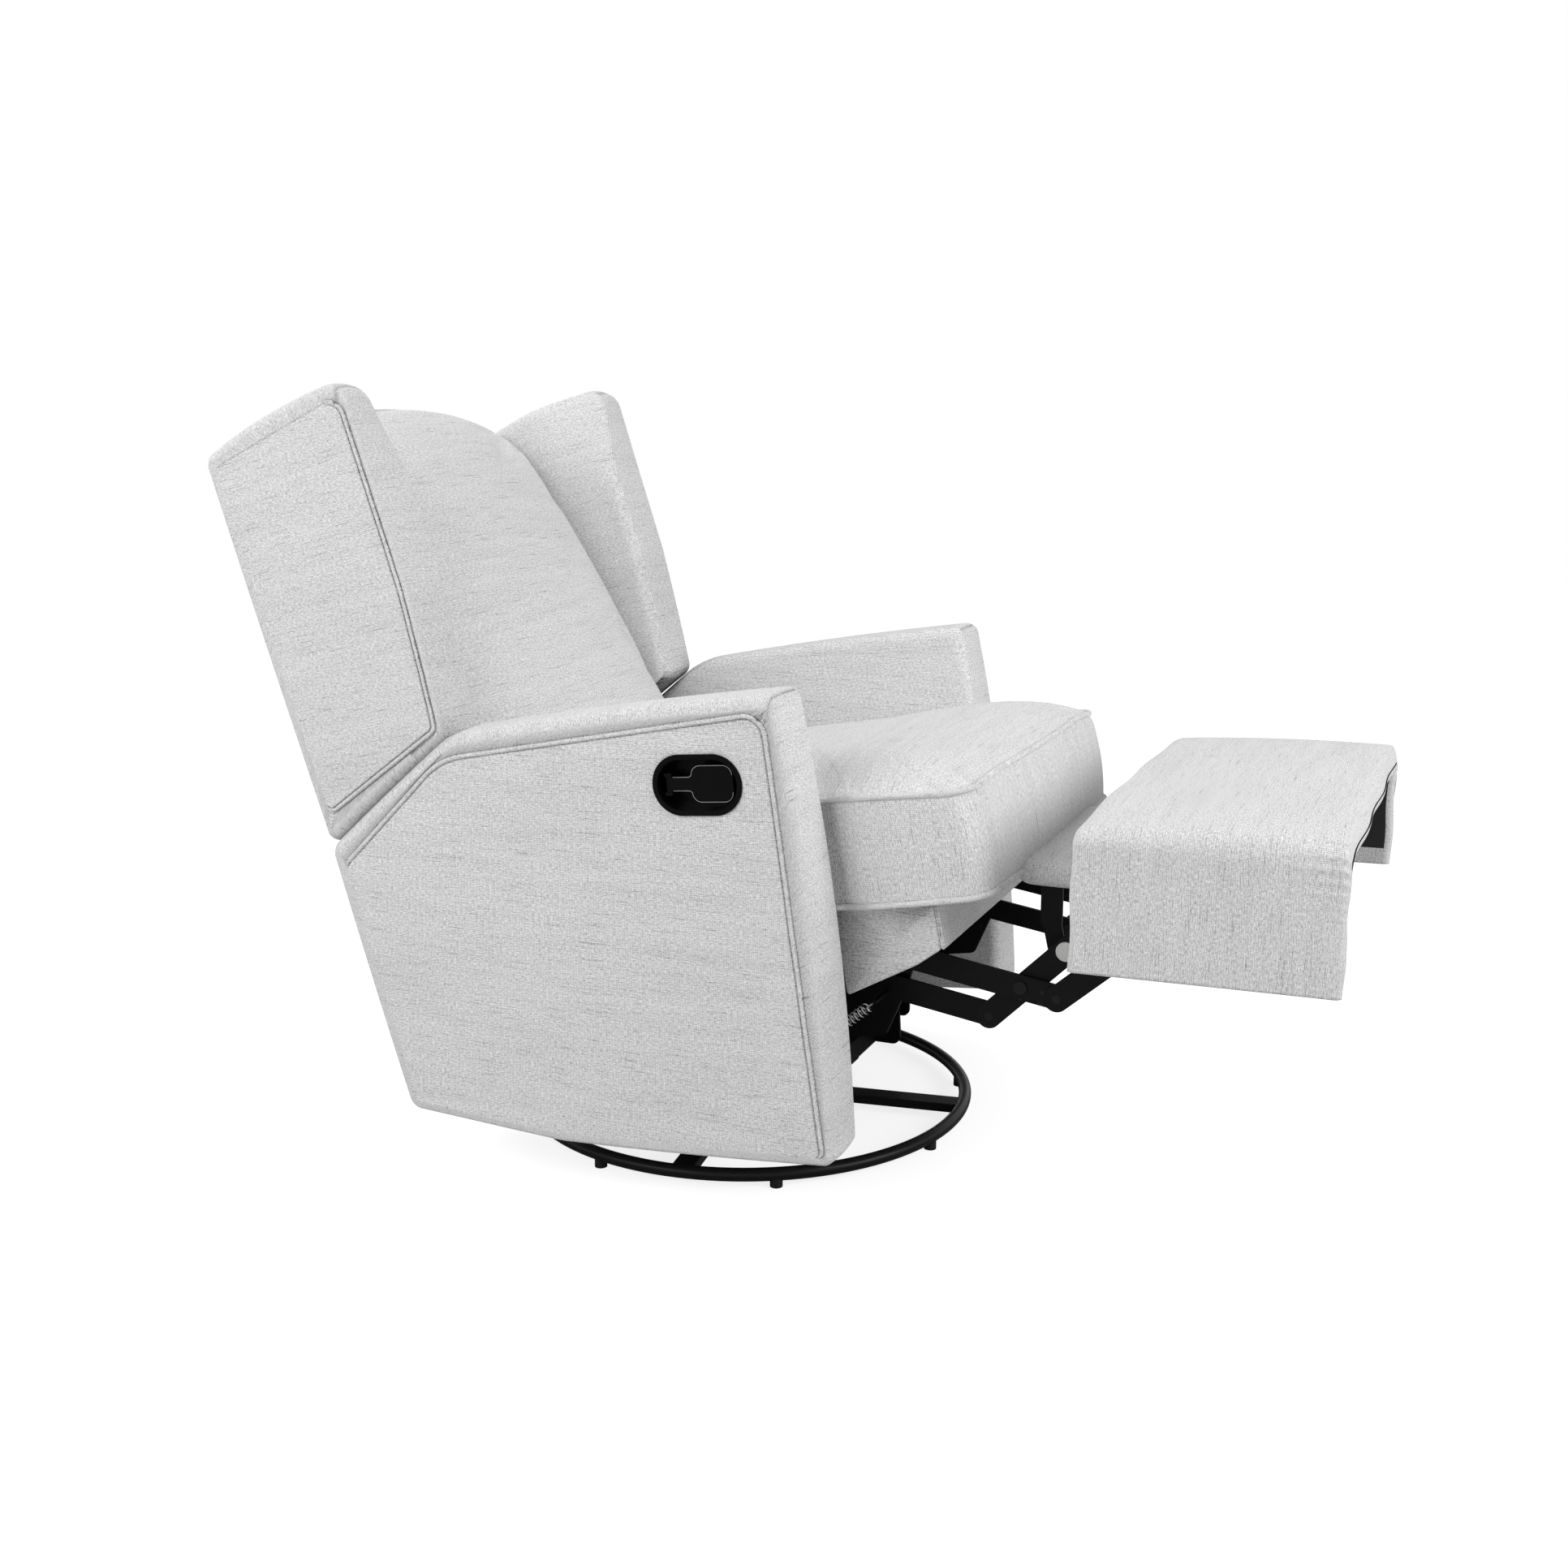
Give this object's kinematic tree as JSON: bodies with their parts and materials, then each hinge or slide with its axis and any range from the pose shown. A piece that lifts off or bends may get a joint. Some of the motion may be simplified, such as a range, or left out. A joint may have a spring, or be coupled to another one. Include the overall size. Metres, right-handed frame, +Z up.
{
  "type": "swivel glider recliner",
  "caption": "Upholstered wing-back recliner with padded arms, thick seat cushion, lift-out footrest on link bars, recessed side handle and round swivel-glide base.",
  "frame": {"origin": "Where the swivel axis meets the floor, at the middle of the ring of feet.", "axes": "+Z up along the swivel axis, the sitter faces -Y, +X to the sitter's left."},
  "size_m": [0.7724, 1.389, 0.9731],
  "materials": {
    "base_black": "satin black powder coat",
    "mechanism_black": "satin black paint over stamped steel",
    "foot_rubber": "moulded black glide feet",
    "zinc_steel": "zinc plated",
    "blackened_pins": "blackened rivet steel",
    "nylon_button": "pale moulded roller",
    "spring_chrome": "bright plated wire",
    "spring_steel": "oiled spring wire",
    "frame_wood": "plain plywood and softwood, unfinished",
    "board_black": "plywood under black dust cloth",
    "woven_grey": "light grey heathered weave",
    "handle_black": "black moulded plastic"
  },
  "bodies": {
    "base": {"base_ring": "base_black", "base_cross_bars": "base_black", "base_feet": "foot_rubber", "swivel_lower_plate": "base_black", "swivel_bearing": "zinc_steel", "swivel_bolt": "zinc_steel"},
    "carriage": {"swivel_upper_plate": "mechanism_black", "glide_channels": "mechanism_black", "glide_stanchion_right": "mechanism_black", "glide_stanchion_left": "mechanism_black", "stanchion_pins": "blackened_pins"},
    "front_links": {"front_glide_links": "mechanism_black"},
    "rear_links": {"rear_glide_links": "mechanism_black"},
    "seat": {"glide_pins": "blackened_pins", "mechanism_plate_right": "mechanism_black", "mechanism_plate_left": "mechanism_black", "front_cross_tube": "mechanism_black", "rear_cross_tube": "mechanism_black", "link_pivot_pins": "blackened_pins", "seat_frame": "frame_wood", "seat_springs": "spring_steel", "seat_cushion": "woven_grey", "seat_front_band": "woven_grey", "arm_right": "woven_grey", "arm_left": "woven_grey", "arm_frame_right": "frame_wood", "arm_frame_left": "frame_wood", "handle_bezel": "handle_black", "assist_spring_right": "spring_chrome", "assist_spring_left": "spring_chrome"},
    "lever": {"release_lever": "handle_black"},
    "back": {"back_shell": "woven_grey", "back_stiles": "frame_wood", "back_rails": "frame_wood", "back_cushion": "woven_grey", "wing_right": "woven_grey", "wing_left": "woven_grey", "back_bracket_right": "mechanism_black", "back_bracket_left": "mechanism_black"},
    "lower_links": {"footrest_lower_links": "mechanism_black"},
    "upper_links": {"footrest_upper_links": "mechanism_black"},
    "long_links": {"footrest_long_links": "mechanism_black", "long_link_pins": "blackened_pins", "link_buttons": "nylon_button", "footrest_cross_rod": "mechanism_black", "mid_ottoman_struts": "mechanism_black", "mid_ottoman": "woven_grey"},
    "short_links": {"footrest_short_links": "mechanism_black", "short_link_pins": "blackened_pins"},
    "footrest": {"footrest_bracket_right": "mechanism_black", "footrest_bracket_left": "mechanism_black", "footrest_board": "board_black", "footrest_cover": "woven_grey"}
  },
  "joints": [
    {"name": "swivel", "type": "hinge", "parent": "base", "child": "carriage", "pos_m": [0, 0, 0], "axis": [0, 0, 1], "continuous": true},
    {"name": "glide", "type": "hinge", "parent": "carriage", "child": "front_links", "pos_m": [0, -0.14, 0.192], "axis": [1, 0, 0], "range_deg": [-22, 22]},
    {"name": "glide_rear", "type": "hinge", "parent": "carriage", "child": "rear_links", "pos_m": [0, 0.14, 0.192], "axis": [1, 0, 0], "range_deg": [-22, 22]},
    {"name": "glide_level", "type": "hinge", "parent": "front_links", "child": "seat", "pos_m": [0, -0.14, 0.097], "axis": [1, 0, 0], "range_deg": [-22, 22]},
    {"name": "recline", "type": "hinge", "parent": "seat", "child": "back", "pos_m": [0, 0.31, 0.25], "axis": [-1, 0, 0], "range_deg": [0, 28]},
    {"name": "footrest_fold", "type": "hinge", "parent": "seat", "child": "lower_links", "pos_m": [0, -0.22871, 0.26252], "axis": [1, 0, 0], "range_deg": [0, 100], "deforming": ["assist_spring_right", "assist_spring_left"]},
    {"name": "long_link", "type": "hinge", "parent": "lower_links", "child": "long_links", "pos_m": [0, -0.402, 0.236], "axis": [1, 0, 0], "range_deg": [-100, 0]},
    {"name": "footrest_tilt", "type": "hinge", "parent": "long_links", "child": "footrest", "pos_m": [0, -0.59999, 0.43399], "axis": [1, 0, 0], "range_deg": [0, 77.15]},
    {"name": "upper_link", "type": "hinge", "parent": "seat", "child": "upper_links", "pos_m": [0, -0.26831, 0.30492], "axis": [1, 0, 0], "range_deg": [0, 100]},
    {"name": "short_link", "type": "hinge", "parent": "upper_links", "child": "short_links", "pos_m": [0, -0.48608, 0.27159], "axis": [1, 0, 0], "range_deg": [-98.8, 0]},
    {"name": "lever", "type": "hinge", "parent": "seat", "child": "lever", "pos_m": [-0.378, -0.07314, 0.52369], "axis": [0, -0.0872, -0.9962], "range_deg": [0, 25], "stiffness_Nm_per_rad": 0.15, "springref_deg": -5.73}
  ],
  "couplings": [
    {"joint": "glide_rear", "follows": "glide", "ratio": 1},
    {"joint": "glide_level", "follows": "glide", "ratio": -1},
    {"joint": "long_link", "follows": "footrest_fold", "ratio": -1},
    {"joint": "footrest_tilt", "follows": "footrest_fold", "ratio": 0.77143},
    {"joint": "upper_link", "follows": "footrest_fold", "ratio": 1},
    {"joint": "short_link", "follows": "footrest_fold", "ratio": -0.98792}
  ]
}
